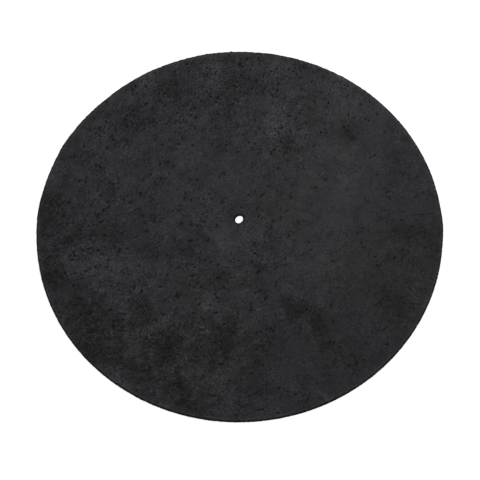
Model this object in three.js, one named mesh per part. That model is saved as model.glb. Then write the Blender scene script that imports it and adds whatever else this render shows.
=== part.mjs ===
// Platter mat for a record player: one disc of black nubuck leather. A round clicker die strikes it
// from the hide and a tube punch opens the spindle hole, both from the napped face down, so each cut
// draws the face over into a soft shoulder and leaves a straight wall with a barely broken foot.
//
// Millimetres, +Z up. The mat lies on its underside at z = 0, and the origin is on the spindle's axis.

import * as THREE from "three";

// The disc
const matDiameter = 300;
const thickness = 2;

// The spindle hole. Leather gives as it is punched, so the hole is a little longer one way.
const holeLength = 7.6;
const holeWidth = 6.4;
const holeTurn = 56; // degrees from +X to the long way of the hole

// The shoulder that the blade draws over on the napped face, at the rim and at the hole
const rimShoulderReach = 0.8;
const rimShoulderDrop = 0.45;
const holeShoulderReach = 0.5;
const holeShoulderDrop = 0.35;

// The cut walls below the shoulders
const wallLean = 0.12; // the rim's wall stands this much further out at its foot than at its top
const footRadius = 0.15;

// Where the cut strays from the true circle: the middle of the stretch and how far it spreads to each
// side, in degrees anticlockwise from +X, and how far the rim stands out there, or in if negative.
const strays = [
  { middle: 98, spread: 12, out: 0.35 },
  { middle: 132, spread: 14, out: -0.6 },
  { middle: 153, spread: 8, out: 0.4 },
  { middle: 176, spread: 10, out: 0.45 },
  { middle: 356, spread: 6, out: 0.5 },
];

// How finely the round shapes are divided
const turnSteps = 144;
const arcSteps = 2;

// The disc's section from hole to rim as a closed outline, x being the radius and y the height.
function section(holeRadius, rimRadius) {
  const rimTop = rimRadius - wallLean;
  const rimWallTop = thickness - rimShoulderDrop;
  const holeWallTop = thickness - holeShoulderDrop;
  const quarter = Math.PI / 2;

  const outline = new THREE.Path();
  outline.moveTo(holeRadius + footRadius, 0);
  outline.lineTo(rimRadius - footRadius, 0);
  outline.absarc(rimRadius - footRadius, footRadius, footRadius, -quarter, 0);
  outline.lineTo(rimTop, rimWallTop);
  outline.absellipse(
    rimTop - rimShoulderReach, rimWallTop, rimShoulderReach, rimShoulderDrop, 0, quarter,
  );
  outline.lineTo(holeRadius + holeShoulderReach, thickness);
  outline.absellipse(
    holeRadius + holeShoulderReach, holeWallTop, holeShoulderReach, holeShoulderDrop,
    quarter, 2 * quarter,
  );
  outline.lineTo(holeRadius, footRadius);
  outline.absarc(holeRadius + footRadius, footRadius, footRadius, 2 * quarter, 3 * quarter);
  return outline.getPoints(arcSteps);
}

// How far the rim stands out of the true circle at an angle in degrees.
function rimStray(degrees) {
  let out = 0;
  for (const stray of strays) {
    const away = Math.abs(THREE.MathUtils.euclideanModulo(degrees - stray.middle + 180, 360) - 180);
    if (away < stray.spread) {
      out += stray.out * 0.5 * (1 + Math.cos((Math.PI * away) / stray.spread));
    }
  }
  return out;
}

// The radius of the oval hole at an angle in degrees.
function holeReach(degrees) {
  const along = THREE.MathUtils.degToRad(degrees - holeTurn);
  const halfLength = holeLength / 2;
  const halfWidth = holeWidth / 2;
  return (halfLength * halfWidth) / Math.hypot(halfWidth * Math.cos(along), halfLength * Math.sin(along));
}

// The mat: a true ring is turned from the section, then each vertex at the rim is carried out to the
// line of the cut, and each at the hole to the oval. Both faces stay flat.
function matGeometry() {
  const rimRadius = matDiameter / 2;
  const holeRadius = holeWidth / 2;
  const midway = (rimRadius + holeRadius) / 2;
  const ring = new THREE.LatheGeometry(section(holeRadius, rimRadius), turnSteps);
  ring.rotateX(Math.PI / 2);

  const place = ring.getAttribute("position");
  for (let i = 0; i < place.count; i += 1) {
    const radius = Math.hypot(place.getX(i), place.getY(i));
    const degrees = THREE.MathUtils.radToDeg(Math.atan2(place.getY(i), place.getX(i)));
    const shift = radius > midway ? rimStray(degrees) : holeReach(degrees) - holeRadius;
    const stretch = (radius + shift) / radius;
    place.setXY(i, place.getX(i) * stretch, place.getY(i) * stretch);
  }
  ring.computeVertexNormals();
  return ring;
}

const nubuck = new THREE.MeshStandardMaterial({ color: 0x2d2d2f, roughness: 0.95, metalness: 0 });

const platterMat = new THREE.Mesh(matGeometry(), nubuck);
platterMat.name = "platter_mat";

const part = new THREE.Group();
part.add(platterMat);

export default part;
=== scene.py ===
"""A record player's platter mat, lying on a white studio floor.

The mat is one disc of black leather with a nubuck face. Its cut line comes from the CAD solid. The
mesh adds what the hide and the cut give it: a gently uneven face, pores as real pits, a drawn-over
shoulder, a fibrous cut wall and a rougher flesh side. Loose fibres stand out of both cuts.

Lengths are in millimetres up to the point where a mesh is made, which is in metres.
"""

import math
import random
from collections import namedtuple

import bpy
from mathutils import Matrix, Vector, noise
from mathutils.geometry import delaunay_2d_cdt


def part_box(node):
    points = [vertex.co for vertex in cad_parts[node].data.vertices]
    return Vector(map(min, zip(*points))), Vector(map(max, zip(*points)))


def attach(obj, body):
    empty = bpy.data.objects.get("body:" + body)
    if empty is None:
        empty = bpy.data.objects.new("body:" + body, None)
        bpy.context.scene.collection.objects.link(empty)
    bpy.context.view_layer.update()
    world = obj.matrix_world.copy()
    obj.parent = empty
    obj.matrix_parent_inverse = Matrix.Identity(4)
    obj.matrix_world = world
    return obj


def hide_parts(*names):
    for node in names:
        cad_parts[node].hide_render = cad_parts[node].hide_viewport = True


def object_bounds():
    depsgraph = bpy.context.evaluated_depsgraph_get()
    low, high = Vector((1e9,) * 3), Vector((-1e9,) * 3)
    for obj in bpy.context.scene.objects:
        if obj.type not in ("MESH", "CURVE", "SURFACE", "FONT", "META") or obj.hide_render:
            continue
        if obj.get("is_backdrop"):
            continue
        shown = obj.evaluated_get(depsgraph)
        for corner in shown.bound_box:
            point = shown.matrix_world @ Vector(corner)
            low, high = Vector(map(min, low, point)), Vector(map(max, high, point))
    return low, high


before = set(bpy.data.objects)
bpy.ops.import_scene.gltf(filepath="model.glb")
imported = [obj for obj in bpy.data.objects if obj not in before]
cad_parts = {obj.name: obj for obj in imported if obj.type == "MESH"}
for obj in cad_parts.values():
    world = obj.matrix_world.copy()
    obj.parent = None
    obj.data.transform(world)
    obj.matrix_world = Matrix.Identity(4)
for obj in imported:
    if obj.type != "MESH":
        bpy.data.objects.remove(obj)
cad_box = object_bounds()
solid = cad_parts["platter_mat"]

MM = 0.001

# The sheet and its cut edges, as the solid has them
DIAMETER = 300
THICKNESS = round(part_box("platter_mat")[1][2] / MM, 3)
RIM_SHOULDER = (0.8, 0.45)  # how far the drawn-over shoulder reaches in from the wall, and drops
HOLE_SHOULDER = (0.5, 0.35)
FOOT_RADIUS = 0.15
RIM_LEAN = 0.12  # how much further out the rim's wall stands at its foot than at its top

# How the fibrous cuts depart from the solid
HOLE_FLUFF = 0.3  # how far the leather, fluffed up by the punch, stands into the hole
RIM_ROUGH = 0.09  # how far the rim strays in and out on the near side
HOLE_ROUGH = 0.05
FAR_ROUGHER = 1.4  # how much more a cut strays at its far end, in parts of its near roughness

# How finely each surface is divided
RIM_STEPS = 1440
HOLE_STEPS = 72
SHOULDER_STEPS = 4
WALL_STEPS = 3
FACE_RING = 0.5  # from the shoulder in to the face's first ring
FACE_SPACING = 1.9
FLESH_SPACING = 3.2

# The face rises and falls a little: size of the swells and their height
FACE_SWELLS = ((34, 0.07), (11, 0.04), (4.5, 0.02))
FLESH_SWELLS = ((20, 0.03), (6.5, 0.05))
FLESH_LIFT = 0.08  # how far the flesh side stands off the platter between the two feet

# Pores: how many places are tried, their radius, their depth and how close two may lie
PORE_TRIES = 12000
PORE_RADIUS = (0.42, 1.25)
PORE_DEPTH = 0.35
PORE_ROOM = 0.75
PORE_FOLLOW = 0.6  # how often a pore has another beside it
PORE_BASE = 0.085  # how likely a pore is where none crowd
PORE_CROWD = 0.45  # how much likelier one is where they crowd
PORE_DARK = 0.9  # how much likelier one is for each unit of shade where the nap lies dark
PORE_GATHER = 1.9  # how strongly pores gather into small clusters
PORE_CELL = 3.6  # the cells of the grid that finds a pore's neighbours

# The rings of a pore from its bottom to its mouth: points, reach, depth and darkness, in shares of
# the pore's own. The darkness is painted shade in the pit.
PORE_RINGS = ((1, 0, 1, 1), (5, 0.55, 0.75, 0.9), (7, 1.1, 0, 0))

# Where pores crowd: place, reach and how much more likely one is
PORE_ZONES = (
    (-15, 122, 44, 0.52),
    (-64, 122, 24, 0.22),
    (26, 122, 26, 0.24),
    (80, 112, 30, 0.22),
    (20, 78, 26, 0.16),
    (-30, 76, 22, 0.14),
    (-82, 92, 34, 0.38),
    (-122, 0, 46, 0.46),
    (-92, 38, 34, 0.16),
    (124, 26, 30, 0.08),
    (-98, -76, 34, 0.40),
    (-42, -108, 40, 0.20),
    (36, 62, 26, 0.28),
    (62, 104, 28, 0.12),
    (-18, -22, 58, 0.32),
)

# A shade is the natural logarithm of a change in lightness, so 0.1 is about a tenth lighter
# Painted shade that darkens the cut walls
WALL_PAINTED_SHADE = -1.3  # the cut walls
CLUSTER_NAP = -0.17  # where pores gather

# The way the nap is brushed on the far half and the near half, in degrees from +X
FAR_STROKES = 72
NEAR_STROKES = 30

# Where the nap is ruffled into feathery streaks: place, reach and how strongly
RUFFLES = (
    (-80, -88, 38, 0.9),
    (-28, -98, 34, 1.0),
    (-52, -128, 24, 0.8),
    (-110, -52, 26, 0.5),
    (48, -84, 26, 0.4),
    (-15, 118, 34, 0.3),
)

# Where the nap lies darker or lighter, and in the broad fields partly painted light and shade: place,
# half length, half width, turn in degrees, shade, and how far the dye is warmed
NAP_AND_PAINTED_LIGHT_PATCHES = (
    # broad fields: lighter over the far right half, darker towards the left, right and near edges,
    # partly painted light and shade and partly the hide's tone. Those of shade 0 only warm the dye.
    (70, 45, 95, 70, 20, 0.21, 0),
    (85, 105, 32, 22, -30, 0.17, 0),
    (132, 0, 26, 50, 0, -0.17, 0),
    (0, -22, 28, 24, 0, -0.05, 0),
    (-140, -24, 34, 62, 8, -0.25, 0),
    (-60, -112, 70, 38, -28, -0.26, 0),
    (-30, -100, 32, 22, 0, -0.14, 1.1),
    (80, -105, 75, 40, 30, -0.20, 0),
    (124, -54, 27, 34, 0, -0.06, 1.2),
    (100, -30, 16, 14, 0, 0, 0.7),
    (34, 12, 34, 12, 32, 0, 0.5),
    (70, -40, 20, 24, 0, 0, 0.35),
    (-86, -88, 30, 9, -38, 0, 0.7),
    (56, -88, 20, 10, -52, 0, 0.5),
    (-24, -52, 26, 7, 0, 0, 0.5),
    (84, 66, 8, 18, 0, 0, 0.7),
    # dark marks, from far to near
    (50, 138, 8, 6, 0, -0.34, 0),
    (10, 116, 14, 9, -20, -0.34, 0),
    (-46, 114, 9, 17, 5, -0.42, 0),
    (-9, 96, 8, 24, -18, -0.34, 0),
    (60, 92, 5, 25, -14, -0.20, 0.5),
    (-82, 88, 18, 11, 5, -0.36, 0),
    (86, 71, 8, 8, 0, -0.60, 0.7),
    (-14, 64, 8, 10, 0, -0.34, 0),
    (38, 60, 6, 12, 12, -0.50, 0.5),
    (117, 58, 8, 26, 0, -0.20, 0),
    (-143, 18, 9, 22, 0, -0.49, 0),
    (-68, 2, 9, 8, 0, -0.24, 0),
    (-100, -7, 22, 8, 4, -0.34, 0),
    (42, -7, 7, 9, 0, -0.26, 0.4),
    (122, -16, 19, 7, 0, -0.38, 0.6),
    (-66, -20, 10, 12, 30, -0.30, 0),
    (142, -30, 7, 14, 0, -0.26, 0),
    (108, -36, 15, 9, -10, -0.18, 0.6),
    (-136, -38, 9, 13, 10, -0.46, 0),
    (-20, -49, 10, 7, 20, -0.46, 0.6),
    (7, -51, 9, 5, 0, -0.34, 0.2),
    (-70, -70, 9, 10, 0, -0.36, 0.2),
    (38, -71, 10, 8, -20, -0.50, 0.2),
    (-110, -72, 18, 16, 0, -0.30, 0),
    (107, -74, 11, 12, 0, -0.28, 0),
    (48, -77, 14, 8, -35, -0.26, 0.2),
    (56, -90, 7, 15, 15, -0.46, 0.6),
    (-11, -90, 7, 16, -25, -0.62, 0.5),
    (-67, -90, 8, 6, 0, -0.34, 0.2),
    (-52, -97, 7, 14, -8, -0.56, 0.3),
    (8, -97, 9, 9, 0, -0.22, 0),
    (21, -98, 8, 14, 0, -0.24, 0),
    (-103, -99, 20, 9, -25, -0.56, 0.3),
    (-73, -117, 10, 8, 0, -0.36, 0),
    (8, -118, 10, 14, 0, -0.26, 0),
    (-50, -124, 11, 8, 0, -0.40, 0.3),
    (-38, -139, 10, 7, 0, -0.40, 0),
    # light marks, from far to near
    (36, 135, 12, 10, -14, 0.36, 0),
    (-18, 133, 9, 11, 0, 0.42, 0),
    (-68, 126, 9, 9, 0, 0.34, 0),
    (30, 96, 9, 32, -8, 0.22, 0),
    (50, 87, 7, 7, 0, 0.24, 0),
    (-39, 56, 8, 11, 0, 0.30, 0),
    (-141, 42, 8, 14, 0, 0.26, 0),
    (82, 38, 13, 30, -14, 0.14, 0),
    (-13, -14, 7, 12, 10, 0.40, 0),
    (-6, -34, 6, 12, 0, 0.34, 0),
    (-96, -37, 38, 8, -6, 0.34, 0),
    (50, -40, 24, 10, 5, 0.18, 0),
    (-19, -68, 7, 9, 0, 0.34, 0),
    (-47, -78, 9, 6, 0, 0.42, 0.3),
    (-76, -95, 20, 5, 40, 0.34, 0),
    (-68, -113, 7, 6, 0, 0.30, 0),
    (-36, -114, 11, 8, 0, 0.38, 0.3),
    (-88, -116, 13, 7, -38, 0.42, 0),
    (-15, -121, 9, 7, 0, 0.40, 0.3),
    (-50, -137, 8, 6, 0, 0.32, 0),
)

# Loose fibres of the cuts: how many, how high up their roots are, how long and how thick
RIM_FIBRES = 5200
HOLE_FIBRES = 1200
RIM_FIBRE_HEIGHT = (0.15, 1.85)
HOLE_FIBRE_HEIGHT = (0.2, 1.9)
RIM_FIBRE_LENGTH = (0.12, 0.5)
HOLE_FIBRE_LENGTH = (0.2, 0.7)
FIBRE_WIDTH = 0.045

# The dye where it is cool and where it is warm
FACE_DYES = ((0.0225, 0.0226, 0.0249), (0.0228, 0.0230, 0.0231))
FLESH_DYES = ((0.0205, 0.0202, 0.0210), (0.0245, 0.0225, 0.0205))
FIBRE_DYES = ((0.010, 0.010, 0.011), (0.015, 0.014, 0.013))

# The camera, in millimetres and degrees, as the photograph's outline and hole place it
CAMERA_PLACE = (0.2, -266.6, 571.9)
CAMERA_TILT = 23.65
CAMERA_ROLL = -1.773
CAMERA_LENS = 63.70
CAMERA_SENSOR = 36

rng = random.Random(7)

Pore = namedtuple("Pore", "x y radius stretch lie strength")


# The cut lines


def cut_line(node, pick):
    """The radius of a cut in the solid for any angle. pick is max for the rim, min for the hole."""
    found = {}
    for vertex in node.data.vertices:
        angle = round(math.degrees(math.atan2(vertex.co.y, vertex.co.x)), 1) % 360
        radius = math.hypot(vertex.co.x, vertex.co.y) / MM
        found[angle] = pick(found.get(angle, radius), radius)
    angles = sorted(found)
    count = len(angles)  # the solid's corners are evenly spaced, from an angle of 0

    def radius_at(turn):
        place = (math.degrees(turn) % 360) / 360 * count
        low = int(place) % count
        share = place - int(place)
        return found[angles[low]] * (1 - share) + found[angles[(low + 1) % count]] * share

    return radius_at


# The uneven surfaces


def wave(x, y, size, seed):
    """Smooth noise of about -1 to 1 whose lumps are about size apart. Each seed gives its own."""
    return noise.noise(Vector((x / size, y / size, seed)))


def swells(x, y, layers, seed):
    """The rise of a surface at a point, as the sum of its swells."""
    return sum(height * wave(x, y, size, seed + i) for i, (size, height) in enumerate(layers))


def face_rise(x, y):
    """How far the napped face stands above its plane at a point."""
    return swells(x, y, FACE_SWELLS, 50)


# The nap and the pores


def gathered_at(x, y):
    """How closely pores gather into small clusters at a point, about 0 on average."""
    return 1.5 * wave(x, y, 9, 41) + 0.8 * wave(x, y, 25, 42) + 0.6 * wave(x, y, 5, 44)


def nap_and_painted_light_at(x, y):
    """The shade at a point, from the nap and the broad fields' painted light and shade, and how warm its
    dye is there.
    """
    # The borders of the patches wander, so that none is a plain oval
    wander_x = 5 * wave(x, y, 8, 32) + 3 * wave(x, y, 4, 35)
    wander_y = 5 * wave(x, y, 8, 34) + 3 * wave(x, y, 4, 36)
    shade = CLUSTER_NAP * (max(0, gathered_at(x, y)) - 0.2)
    warmth = 0
    for px, py, length, width, turn, depth, warm in NAP_AND_PAINTED_LIGHT_PATCHES:
        dx = x + wander_x - px
        dy = y + wander_y - py
        cos, sin = math.cos(math.radians(turn)), math.sin(math.radians(turn))
        along = (dx * cos + dy * sin) / length
        across = (dy * cos - dx * sin) / width
        firmness = 1.2 if length > 25 else 1.6  # a small mark has the firmer border
        weight = math.exp(-((along * along + across * across) ** firmness))
        shade += depth * weight
        warmth += warm * weight
    return shade, min(warmth, 1)


def zones_at(x, y, zones):
    """The sum at a point of soft round zones, each given as place, reach and strength."""
    return sum(
        strength * math.exp(-((x - px) ** 2 + (y - py) ** 2) / reach ** 2)
        for px, py, reach, strength in zones
    )


def crowd_at(x, y):
    """How much pores crowd at a point, and how strong the grain is there: from 0, smooth, to 1."""
    return min(1, zones_at(x, y, PORE_ZONES) / 0.6)


def ruffle_at(x, y):
    """How much the nap is ruffled at a point, from 0 to 1."""
    return min(1, zones_at(x, y, RUFFLES))


def pore_chance(x, y, shade):
    """How likely a pore is at a point: more in the crowded zones and where the nap lies dark."""
    chance = PORE_BASE + PORE_CROWD * crowd_at(x, y) + PORE_DARK * max(0, -shade - 0.08)
    return chance * max(0, 1 + PORE_GATHER * gathered_at(x, y))


def near_share(y):
    """0 on the far half of the mat and 1 on the near half, blending across the middle."""
    return min(1, max(0, 0.5 - (y - 5) / 70))


def lie_at(x, y):
    """The way that a pore at a point is drawn out, in radians: it drifts, with some scatter."""
    lie = math.radians(FAR_STROKES + (NEAR_STROKES - FAR_STROKES) * near_share(y))
    return lie + 1.1 * wave(x, y, 38, 43) + rng.gauss(0, 0.45)


def beside(grid, x, y):
    """The pores of the grid that lie in or next to a point's cell."""
    column, row = int(x // PORE_CELL), int(y // PORE_CELL)
    for i in (-1, 0, 1):
        for j in (-1, 0, 1):
            yield from grid.get((column + i, row + j), ())


def pore_places():
    """Where pores are tried: alone, or in short straggling rows that follow one another."""
    for _ in range(PORE_TRIES):
        distance = DIAMETER / 2 * math.sqrt(rng.random())
        turn = rng.uniform(-math.pi, math.pi)
        x, y = distance * math.cos(turn), distance * math.sin(turn)
        heading = lie_at(x, y)
        if rng.random() > pore_chance(x, y, nap_and_painted_light_at(x, y)[0]):
            continue
        yield x, y
        while rng.random() < PORE_FOLLOW:
            step = rng.uniform(0.9, 2.1)
            heading += rng.gauss(0, 0.7)
            x += step * math.cos(heading)
            y += step * math.sin(heading)
            yield x, y


def scatter_pores(rim, hole):
    """The pores, none of which touches another or a cut, and the grid of cells that finds them."""
    grid = {}
    pores = []
    for x, y in pore_places():
        # Most are small and faint. They grow where they crowd, and ruffled nap draws them out.
        crowd = crowd_at(x, y)
        radius = PORE_RADIUS[0] + (PORE_RADIUS[1] - PORE_RADIUS[0]) * rng.random() ** 1.9
        ruffle = ruffle_at(x, y)
        radius *= (0.8 + 0.42 * crowd) * (1 - 0.25 * ruffle)
        stretch = rng.uniform(1.1, 2.5) + 0.7 * ruffle
        lie = lie_at(x, y)
        strength = (0.3 + rng.random() ** 1.8) * (0.85 + 0.3 * crowd)
        reach = radius * stretch
        turn = math.atan2(y, x)
        distance = math.hypot(x, y)
        if distance > rim(turn) - 1.5 - 1.4 * reach or distance < hole(turn) + 1.1 + 1.4 * reach:
            continue
        if any(
            math.hypot(x - other.x, y - other.y) < PORE_ROOM * (reach + other.radius * other.stretch)
            for other in beside(grid, x, y)
        ):
            continue
        pore = Pore(x, y, radius, stretch, lie, strength)
        pores.append(pore)
        grid.setdefault((int(x // PORE_CELL), int(y // PORE_CELL)), []).append(pore)
    return pores, grid


# The mesh


class Sheet:
    """The mat's mesh as it grows: points in millimetres, what the dye, nap and painted shade do at each,
    and faces.
    """

    def __init__(self):
        self.points = []
        self.nap = []
        self.warmth = []
        self.pore = []
        self.crowd = []
        self.ruffle = []
        self.near = []
        self.faces = []
        self.cut = []  # for each face, whether it shows cut or flesh leather

    def point(self, x, y, z, nap=0, warmth=0, pore=0):
        """Adds a point and returns its number."""
        self.points.append((x, y, z))
        self.nap.append(nap)
        self.warmth.append(warmth)
        self.pore.append(pore)
        self.crowd.append(crowd_at(x, y))
        self.ruffle.append(ruffle_at(x, y))
        self.near.append(near_share(y))
        return len(self.points) - 1

    def face(self, corners, cut):
        """Adds a face from the numbers of its corners."""
        self.faces.append(corners)
        self.cut.append(cut)

    def bridge(self, inner, outer, cut):
        """Quads between two rings that run the same way, facing up where outer is the larger."""
        count = len(inner)
        for i in range(count):
            j = (i + 1) % count
            self.face((inner[i], outer[i], outer[j], inner[j]), cut)

    def fill(self, outer, inner, loose, cut, flip):
        """Triangles from an outer ring in to an inner one, through the loose points between them."""
        members = outer + inner + loose
        coords = [Vector(self.points[i][:2]) for i in members]
        split = len(outer)
        end = split + len(inner)
        edges = [(i, (i + 1) % split) for i in range(split)]
        edges += [(i, split + (i + 1 - split) % len(inner)) for i in range(split, end)]
        _, _, triangles, origins, _, _ = delaunay_2d_cdt(coords, edges, [], 0, 1e-7)
        home = [ids[0] for ids in origins]
        for triangle in triangles:
            a, b, c = (home[i] for i in triangle)
            # One with all its corners on one ring lies past the rim or in the hole
            if max(a, b, c) < split or (min(a, b, c) >= split and max(a, b, c) < end):
                continue
            corners = [members[a], members[b], members[c]]
            self.face(corners[::-1] if flip else corners, cut)


def hex_points(spacing, rim, hole, margin, jitter):
    """Points on a jittered hexagonal grid that keep a margin to the rim and the hole."""
    row_height = spacing * math.sqrt(3) / 2
    reach = DIAMETER / 2 + 2
    rows = int(reach / row_height)
    columns = int(reach / spacing) + 1
    for row in range(-rows, rows + 1):
        for column in range(-columns, columns + 1):
            x = (column + 0.5 * (row % 2)) * spacing + rng.uniform(-jitter, jitter)
            y = row * row_height + rng.uniform(-jitter, jitter)
            turn = math.atan2(y, x)
            if hole(turn) + margin < math.hypot(x, y) < rim(turn) - margin:
                yield x, y


def edge_rows(shoulder, lean):
    """A cut edge from the face to the underside, as distance in from the cut line and height."""
    reach, drop = shoulder
    rows = []
    for i in range(1, SHOULDER_STEPS + 1):
        turn = math.pi / 2 * i / SHOULDER_STEPS
        rows.append((lean + reach * (1 - math.sin(turn)), THICKNESS - drop * (1 - math.cos(turn))))
    for i in range(1, WALL_STEPS + 1):
        share = i / WALL_STEPS
        height = THICKNESS - drop + share * (FOOT_RADIUS - THICKNESS + drop)
        rows.append((lean * (1 - share), height))
    # The foot's arc has one corner halfway round
    rows.append((0.3 * FOOT_RADIUS, 0.3 * FOOT_RADIUS))
    rows.append((FOOT_RADIUS, 0))
    return rows


def edge_painted_shading(inside):
    """The shade this far inside a cut: a thin lighter line, and painted shade that darkens the shoulder.
    """
    return 0.5 * math.exp(-((inside - 1.7) / 0.5) ** 2) - 3 * math.exp(-(inside / 0.62) ** 2)


def fray(x, y, level, height, rough):
    """How far out and up a point of a cut strays from its clean section."""
    amount = rough * min(1, level / SHOULDER_STEPS) * (1 + FAR_ROUGHER * max(0, y / math.hypot(x, y)))
    bulge = 2 * wave(x, y, 1.5, 5 + 0.3 * height) + 0.8 * wave(x, y, 5, 9)
    tuft = 3.5 * max(0, wave(x, y, 1.3, 13) - 0.2)
    out = amount * (bulge + tuft + 0.6 * rng.uniform(-1, 1))
    follows_face = max(0, (height - THICKNESS / 2) / (THICKNESS / 2))
    up = follows_face * face_rise(x, y) + 0.4 * amount * rng.uniform(-1, 1)
    return out, up


def add_edge(sheet, line, steps, shoulder, lean, outward, rough, fluff):
    """The rings of one cut edge, from the face's ring to the underside's.

    outward is 1 at the rim and -1 at the hole. The first ring and the last are returned.
    """
    rows = [(shoulder[0] + lean + FACE_RING, THICKNESS)] + edge_rows(shoulder, lean)
    rings = []
    for level, (inside, height) in enumerate(rows):
        ring = []
        for step in range(steps):
            turn = 2 * math.pi * step / steps
            cos, sin = math.cos(turn), math.sin(turn)
            radius = line(turn) - outward * inside
            x, y = radius * cos, radius * sin
            nap, warmth = nap_and_painted_light_at(x, y)
            if level <= SHOULDER_STEPS:
                # The shoulder gets painted shade, with a thin lighter line inside it
                nap += edge_painted_shading(inside)
            elif height > 0:
                # The cut walls get painted shade
                nap += WALL_PAINTED_SHADE
            rise = height
            if level == 0:
                rise += face_rise(x, y)
            else:
                radius += outward * fluff
            if level > 0 and height > 0:
                out, up = fray(x, y, level, height, rough)
                radius += outward * out
                rise += up
            ring.append(sheet.point(radius * cos, radius * sin, max(rise, 0), nap, warmth))
        rings.append(ring)
    for level in range(len(rings) - 1):
        cut = level >= SHOULDER_STEPS
        pair = (rings[level], rings[level + 1])
        sheet.bridge(*(pair if outward > 0 else pair[::-1]), cut)
    return rings[0], rings[-1]


def add_pore(sheet, pore):
    """The points of one pore: its bottom, a ring on its slope and a ring at its mouth."""
    cos, sin = math.cos(pore.lie), math.sin(pore.lie)
    depth = PORE_DEPTH * pore.strength * math.sqrt(pore.radius / PORE_RADIUS[1])
    made = []
    for count, reach, sunk, shade in PORE_RINGS:
        start = rng.uniform(0, math.pi)
        for i in range(count):
            turn = start + 2 * math.pi * i / count
            uneven = reach * pore.radius * rng.uniform(0.75, 1.25)
            along, across = pore.stretch * uneven * math.cos(turn), uneven * math.sin(turn)
            x = pore.x + along * cos - across * sin
            y = pore.y + along * sin + across * cos
            nap, warmth = nap_and_painted_light_at(x, y)
            height = THICKNESS + face_rise(x, y) - depth * sunk
            # The pore value carries the painted shade in the pit
            made.append(sheet.point(x, y, height, nap, warmth, pore.strength * shade))
    return made


def build_sheet(rim, hole):
    """The whole mat as one closed mesh."""
    sheet = Sheet()
    rim_face, rim_foot = add_edge(
        sheet, rim, steps=RIM_STEPS, shoulder=RIM_SHOULDER, lean=RIM_LEAN,
        outward=1, rough=RIM_ROUGH, fluff=0,
    )
    hole_face, hole_foot = add_edge(
        sheet, hole, steps=HOLE_STEPS, shoulder=HOLE_SHOULDER, lean=0,
        outward=-1, rough=HOLE_ROUGH, fluff=HOLE_FLUFF,
    )

    pores, grid = scatter_pores(rim, hole)
    loose = []
    for pore in pores:
        loose += add_pore(sheet, pore)
    margin = RIM_SHOULDER[0] + 1.3  # clear of the face's own ring at the rim
    for x, y in hex_points(FACE_SPACING, rim, hole, margin, 0.35):
        if any(
            math.hypot(x - pore.x, y - pore.y) < 1.5 * pore.radius * pore.stretch + 0.35
            for pore in beside(grid, x, y)
        ):
            continue
        turn = math.atan2(y, x)
        inside = min(rim(turn) - math.hypot(x, y), math.hypot(x, y) - hole(turn))
        nap, warmth = nap_and_painted_light_at(x, y)
        height = THICKNESS + face_rise(x, y)
        # Near a cut the face gets the shoulder's painted shade and its thin lighter line
        loose.append(sheet.point(x, y, height, nap + edge_painted_shading(inside), warmth))
    sheet.fill(rim_face, hole_face, loose, False, False)

    loose = []
    for x, y in hex_points(FLESH_SPACING, rim, hole, 1.6, 0.7):
        height = FLESH_LIFT + swells(x, y, FLESH_SWELLS, 70) + rng.uniform(-0.02, 0.02)
        loose.append(sheet.point(x, y, max(height, 0)))
    sheet.fill(rim_foot, hole_foot, loose, True, True)
    return sheet


def layout_uv(mesh):
    """One flat map for the bake: the face with both walls is one round island, the underside another."""
    # Each island's middle, and its reach on the map for a radius in millimetres
    face_centre, face_scale = 0.385, 0.375 / 156
    flesh_centre, flesh_scale = 0.79, 0.2 / 151
    layer = mesh.uv_layers.new(name="OFBake")
    for polygon in mesh.polygons:
        under = polygon.normal.z < -0.5 and polygon.center.z < 0.5 * MM
        for loop in polygon.loop_indices:
            x, y, z = (c / MM for c in mesh.vertices[mesh.loops[loop].vertex_index].co)
            if under:
                layer.data[loop].uv = (flesh_centre - x * flesh_scale, flesh_centre + y * flesh_scale)
                continue
            # The rim's wall is folded outward and the hole's inward
            radius = math.hypot(x, y)
            fold = 1 if radius > DIAMETER / 4 else -0.5
            spread = (1 + fold * (THICKNESS - z) / radius) * face_scale
            layer.data[loop].uv = (face_centre + x * spread, face_centre + y * spread)


def make_object(name, points, faces):
    """A mesh object in metres from points in millimetres."""
    mesh = bpy.data.meshes.new(name)
    mesh.from_pydata([(x * MM, y * MM, z * MM) for x, y, z in points], [], faces)
    mesh.update()
    thing = bpy.data.objects.new(name, mesh)
    bpy.context.scene.collection.objects.link(thing)
    return thing


def make_leather(sheet, materials):
    """The mat's object, with its attributes, its bake map and its two materials."""
    leather = make_object("leather_mat", sheet.points, sheet.faces)
    mesh = leather.data
    for name in ("nap", "warmth", "pore", "crowd", "ruffle", "near"):
        mesh.attributes.new(name, "FLOAT", "POINT").data.foreach_set("value", getattr(sheet, name))
    for material in materials:
        mesh.materials.append(material)
    mesh.polygons.foreach_set("material_index", [int(c) for c in sheet.cut])
    mesh.polygons.foreach_set("use_smooth", [True] * len(mesh.polygons))
    layout_uv(mesh)
    return leather


# The loose fibres


def add_fibre(points, faces, root, heading, length):
    """One closed, tapering, slightly bent sliver from its root."""
    heading = heading.normalized()
    side = heading.orthogonal().normalized()
    other = heading.cross(side)
    bend = (side * rng.uniform(-1, 1) + other * rng.uniform(-1, 1)) * 0.3 * length
    base = len(points)
    for share, width in ((0, FIBRE_WIDTH), (0.55, 0.7 * FIBRE_WIDTH)):
        centre = root + heading * length * share + bend * share ** 2
        for i in range(3):
            turn = 2 * math.pi * i / 3
            points.append(tuple(centre + (side * math.cos(turn) + other * math.sin(turn)) * width / 2))
    points.append(tuple(root + heading * length + bend))
    faces.append((base + 2, base + 1, base))
    for i in range(3):
        j = (i + 1) % 3
        faces.append((base + i, base + j, base + 3 + j, base + 3 + i))
        faces.append((base + 3 + i, base + 3 + j, base + 6))


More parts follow.
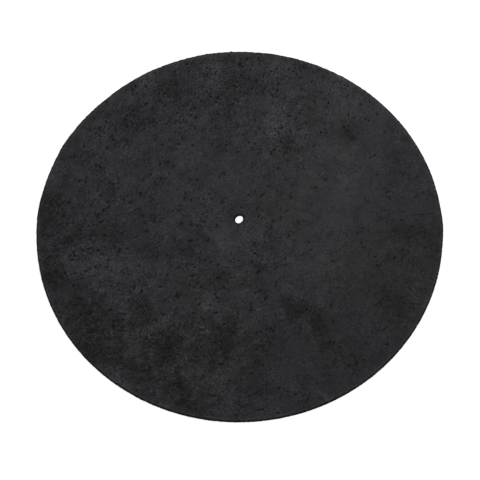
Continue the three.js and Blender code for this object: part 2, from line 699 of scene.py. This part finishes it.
def build_fibres(rim, hole):
    """All loose fibres of both cuts."""
    points, faces = [], []
    for count, line, outward, heights, fluff, lengths in (
        (RIM_FIBRES, rim, 1, RIM_FIBRE_HEIGHT, 0, RIM_FIBRE_LENGTH),
        (HOLE_FIBRES, hole, -1, HOLE_FIBRE_HEIGHT, HOLE_FLUFF, HOLE_FIBRE_LENGTH),
    ):
        for _ in range(count):
            turn = rng.uniform(0, 2 * math.pi)
            height = rng.uniform(*heights)
            out = Vector((math.cos(turn), math.sin(turn), 0)) * outward
            along = Vector((-math.sin(turn), math.cos(turn), 0))
            drawn_in = 0.25 * max(0, height - 1.5) + 0.08
            radius = line(turn) - outward * (drawn_in - fluff)
            root = Vector((radius * math.cos(turn), radius * math.sin(turn), height))
            heading = out + along * rng.gauss(0, 0.8) + Vector((0, 0, rng.gauss(0.1, 0.5)))
            length = rng.uniform(*lengths) * (1 if height > 0.5 else 0.5)
            heading.z = max(heading.z, -0.6 * height)
            add_fibre(points, faces, root, heading, length)
    return points, faces


# The materials


def feed(tree, socket, value):
    """Links a socket, or sets it, depending on what is given."""
    if isinstance(value, bpy.types.NodeSocket):
        tree.links.new(value, socket)
    else:
        socket.default_value = value


def calc(tree, operation, *values):
    """A math node."""
    node = tree.nodes.new("ShaderNodeMath")
    node.operation = operation
    for socket, value in zip(node.inputs, values):
        feed(tree, socket, value)
    return node.outputs[0]


def total(tree, terms):
    """The sum of several values."""
    result = terms[0]
    for term in terms[1:]:
        result = calc(tree, "ADD", result, term)
    return result


def attribute(tree, name):
    """One of the mesh's own values."""
    node = tree.nodes.new("ShaderNodeAttribute")
    node.attribute_name = name
    return node.outputs["Fac"]


def places(tree, turn=0, stretch=1):
    """The object's coordinates in millimetres, drawn out along a way in degrees from +X if asked."""
    coordinates = tree.nodes.new("ShaderNodeTexCoord")
    mapping = tree.nodes.new("ShaderNodeMapping")
    mapping.vector_type = "TEXTURE"
    mapping.inputs["Rotation"].default_value = (0, 0, math.radians(turn))
    mapping.inputs["Scale"].default_value = (MM * stretch, MM, MM)
    tree.links.new(coordinates.outputs["Object"], mapping.inputs["Vector"])
    return mapping.outputs["Vector"]


def lumps(tree, where, size, amount, detail=2, rough=0.5, warp=0.0):
    """Noise about zero, with lumps about size millimetres apart and a spread of about amount.

    detail and rough say how much finer noise lies in it, and warp how far it is twisted.
    """
    node = tree.nodes.new("ShaderNodeTexNoise")
    tree.links.new(where, node.inputs["Vector"])
    node.inputs["Scale"].default_value = 1 / size
    node.inputs["Detail"].default_value = detail
    node.inputs["Roughness"].default_value = rough
    node.inputs["Distortion"].default_value = warp
    own_spread = 0.12
    centred = calc(tree, "SUBTRACT", node.outputs["Fac"], 0.5)
    return calc(tree, "MULTIPLY", centred, amount / own_spread)


def blend(tree, share, first, second):
    """The first value where share is 0, the second where it is 1, and a mix between."""
    return calc(tree, "MULTIPLY_ADD", share, calc(tree, "SUBTRACT", second, first), first)


def dyed(tree, shade, dyes, warmth):
    """The dye's colour, from the cool one to the warm one, lightened or darkened by a shade."""
    cool, warm = dyes
    mix = tree.nodes.new("ShaderNodeMix")
    mix.data_type = "RGBA"
    # The node has sockets of each kind under one name, so those for colours go by number
    feed(tree, mix.inputs[0], warmth)
    mix.inputs[6].default_value = (*cool, 1)
    mix.inputs[7].default_value = (*warm, 1)
    scale = tree.nodes.new("ShaderNodeVectorMath")
    scale.operation = "SCALE"
    tree.links.new(mix.outputs[2], scale.inputs[0])
    tree.links.new(calc(tree, "EXPONENT", shade), scale.inputs["Scale"])
    return scale.outputs[0]


def start_material(name, sheen, gloss):
    """A new material with its shader's constant settings."""
    material = bpy.data.materials.new(name)
    material.use_nodes = True
    tree = material.node_tree
    shader = tree.nodes["Principled BSDF"]
    shader.inputs["Specular IOR Level"].default_value = gloss
    shader.inputs["Sheen Weight"].default_value = sheen
    shader.inputs["Sheen Roughness"].default_value = 0.5
    return material, tree, shader


def add_bump(tree, shader, height, distance):
    """Fine relief, height being in parts of distance, in millimetres."""
    bump = tree.nodes.new("ShaderNodeBump")
    bump.inputs["Strength"].default_value = 1
    bump.inputs["Distance"].default_value = distance * MM
    tree.links.new(height, bump.inputs["Height"])
    tree.links.new(bump.outputs["Normal"], shader.inputs["Normal"])


def nubuck_material():
    """The buffed face: cloudy nap, a fine brushed grain, and painted shade in the pores' pits."""
    material, tree, shader = start_material("black_nubuck", 0.06, 0.12)
    plain = places(tree)
    steep = places(tree, FAR_STROKES, 1.6)
    low = places(tree, NEAR_STROKES, 1.4)
    near = attribute(tree, "near")
    crowd = attribute(tree, "crowd")
    # The mesh's shade: the nap, the broad fields' painted light and shade, and painted shade at the cuts
    nap = attribute(tree, "nap")
    # The grain is coarser where pores crowd and where the nap lies dark
    coarse = calc(tree, "MULTIPLY_ADD", crowd, 0.62, 0.72)
    coarse = calc(tree, "MULTIPLY_ADD", nap, -0.45, coarse)
    coarse = calc(tree, "ADD", coarse, lumps(tree, plain, 13, 0.22, 2))
    coarse = calc(tree, "MAXIMUM", coarse, 0.3)
    # From broad to fine. The light side of the mottle and of the tufts is held back.
    clouds = lumps(tree, plain, 24, 0.10, 3, 0.55, 0.6)
    mottle = calc(tree, "MINIMUM", lumps(tree, plain, 5.5, 0.18, 3, 0.6), 0.08)
    far_flecks, near_flecks = (lumps(tree, where, 1.4, 0.19, 2, 0.6) for where in (steep, low))
    flecks = blend(tree, near, far_flecks, near_flecks)
    grain = lumps(tree, plain, 1.1, 0.37, 2, 0.65)
    far_fibres, near_fibres = (lumps(tree, where, 0.3, 0.20, 1, 0.5) for where in (steep, low))
    fibres = blend(tree, near, far_fibres, near_fibres)
    specks = calc(tree, "SUBTRACT", 0.16, lumps(tree, plain, 2.0, 0.12, 1, 0.5))
    specks = calc(tree, "MULTIPLY", calc(tree, "MINIMUM", specks, 0), 3.5)
    # Painted shade in the pores' pits
    pores = calc(tree, "MULTIPLY", attribute(tree, "pore"), -1.6)
    wisps = lumps(tree, places(tree, 38, 1.8), 1.3, 0.2, 2, 0.6, 0.4)
    tufts = lumps(tree, places(tree, 30, 1.3), 6, 0.22, 3, 0.5, 0.8)
    tufts = calc(tree, "MINIMUM", tufts, 0.14)
    ruffled = calc(tree, "MULTIPLY", attribute(tree, "ruffle"), calc(tree, "ADD", wisps, tufts))
    fine = total(tree, [mottle, flecks, grain, fibres, specks])
    fine = calc(tree, "MULTIPLY", fine, coarse)
    shade = total(tree, [nap, clouds, fine, ruffled, pores])
    colour = dyed(tree, shade, FACE_DYES, attribute(tree, "warmth"))
    tree.links.new(colour, shader.inputs["Base Color"])
    roughness = calc(tree, "ADD", calc(tree, "MULTIPLY", grain, 0.1), 0.9)
    tree.links.new(roughness, shader.inputs["Roughness"])
    add_bump(tree, shader, total(tree, [grain, fibres, flecks]), 0.05)
    return material


def flesh_material():
    """Cut and flesh side: coarser loose fibres, a little browner where the dye sank in less.

    The cut walls also carry painted shade.
    """
    material, tree, shader = start_material("black_flesh_side", 0.04, 0.08)
    plain = places(tree)
    strands = places(tree, 25, 3)
    clouds = lumps(tree, plain, 18, 0.12, 3, 0.6, 0.8)
    clumps = lumps(tree, plain, 2.6, 0.18, 3, 0.65)
    fibres = lumps(tree, strands, 0.5, 0.24, 2, 0.6)
    # The nap attribute brings the cut walls' painted shade
    shade = total(tree, [attribute(tree, "nap"), clouds, clumps, fibres])
    colour = dyed(tree, shade, FLESH_DYES, calc(tree, "ADD", clumps, 0.3))
    tree.links.new(colour, shader.inputs["Base Color"])
    roughness = calc(tree, "ADD", calc(tree, "MULTIPLY", clumps, 0.2), 0.93)
    tree.links.new(roughness, shader.inputs["Roughness"])
    add_bump(tree, shader, total(tree, [clumps, fibres]), 0.20)
    return material


def fibre_material():
    """Loose fibres: the same dye, lighter here and there where a fibre took less of it."""
    material, tree, shader = start_material("loose_fibres", 0.03, 0.08)
    plain = places(tree)
    streaks = lumps(tree, plain, 0.6, 0.25, 2, 0.6)
    clouds = lumps(tree, plain, 9, 0.15, 2, 0.5)
    shade = total(tree, [streaks, clouds])
    colour = dyed(tree, shade, FIBRE_DYES, calc(tree, "ADD", clouds, 0.3))
    tree.links.new(colour, shader.inputs["Base Color"])
    shader.inputs["Roughness"].default_value = 0.85
    add_bump(tree, shader, streaks, 0.01)
    return material


# The studio


def seen(tree):
    """1 where the background itself is looked at, straight, in a reflection or through glass, else 0."""
    path = tree.nodes.new("ShaderNodeLightPath")
    rays = (path.outputs[n] for n in ("Is Camera Ray", "Is Glossy Ray", "Is Transmission Ray"))
    return calc(tree, "MINIMUM", total(tree, list(rays)), 1.0)


def make_floor():
    """A white floor that keeps a trace of the mat's shadow."""
    half, height = 3000, -0.05  # just below the underside, so that the two don't lie in one plane
    corners = [(half * x, half * y, height) for x, y in ((-1, -1), (1, -1), (1, 1), (-1, 1))]
    floor = make_object("floor", corners, [(0, 1, 2, 3)])
    material = bpy.data.materials.new("white_floor")
    material.use_nodes = True
    tree = material.node_tree
    shader = tree.nodes["Principled BSDF"]
    shader.inputs["Base Color"].default_value = (0.34, 0.34, 0.34, 1)
    shader.inputs["Roughness"].default_value = 1
    shader.inputs["Specular IOR Level"].default_value = 0
    shader.inputs["Emission Color"].default_value = (1, 1, 1, 1)
    tree.links.new(calc(tree, "MULTIPLY", seen(tree), 0.80), shader.inputs["Emission Strength"])
    floor.data.materials.append(material)
    floor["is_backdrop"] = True


def make_world():
    """An even white room: plain light on the mat, white where it is looked at."""
    world = bpy.data.worlds.new("studio")
    world.use_nodes = True
    tree = world.node_tree
    background = tree.nodes["Background"]
    background.inputs["Color"].default_value = (1, 1, 1, 1)
    strength = calc(tree, "ADD", calc(tree, "MULTIPLY", seen(tree), 0.4), 0.6)
    tree.links.new(strength, background.inputs["Strength"])
    bpy.context.scene.world = world


def add_lamp(name, place, size, power):
    """A square soft box that faces the mat: place and size in metres, power in watts."""
    light = bpy.data.lights.new(name, "AREA")
    light.size = size
    light.energy = power
    lamp = bpy.data.objects.new(name, light)
    lamp.location = place
    lamp.rotation_mode = "QUATERNION"
    lamp.rotation_quaternion = (-Vector(place)).to_track_quat("-Z", "Y")
    bpy.context.scene.collection.objects.link(lamp)


def make_camera():
    """The photograph's own viewpoint."""
    data = bpy.data.cameras.new("camera")
    data.sensor_width = CAMERA_SENSOR
    data.lens = CAMERA_LENS
    data.clip_start = 0.01
    camera = bpy.data.objects.new("camera", data)
    camera.matrix_world = (
        Matrix.Translation(Vector(CAMERA_PLACE) * MM)
        @ Matrix.Rotation(math.radians(CAMERA_TILT), 4, "X")
        @ Matrix.Rotation(math.radians(CAMERA_ROLL), 4, "Z")
    )
    bpy.context.scene.collection.objects.link(camera)
    bpy.context.scene.camera = camera


# The scene

make_camera()

rim_line = cut_line(solid, max)
hole_line = cut_line(solid, min)

leather = make_leather(build_sheet(rim_line, hole_line), (nubuck_material(), flesh_material()))
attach(leather, "root")
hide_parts("platter_mat")

fibres = make_object("edge_fibres", *build_fibres(rim_line, hole_line))
fibres.data.materials.append(fibre_material())
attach(fibres, "root")

make_floor()
make_world()
add_lamp("key", (0.55, 0.45, 1.3), 0.9, 6)
add_lamp("fill", (-0.8, -0.6, 1.1), 1.1, 3)

bpy.context.scene.view_settings.view_transform = "Standard"

visual_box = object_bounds()
boxes = {"cad": cad_box, "visual": visual_box}
{name: [list(corner) for corner in box] for name, box in boxes.items()}
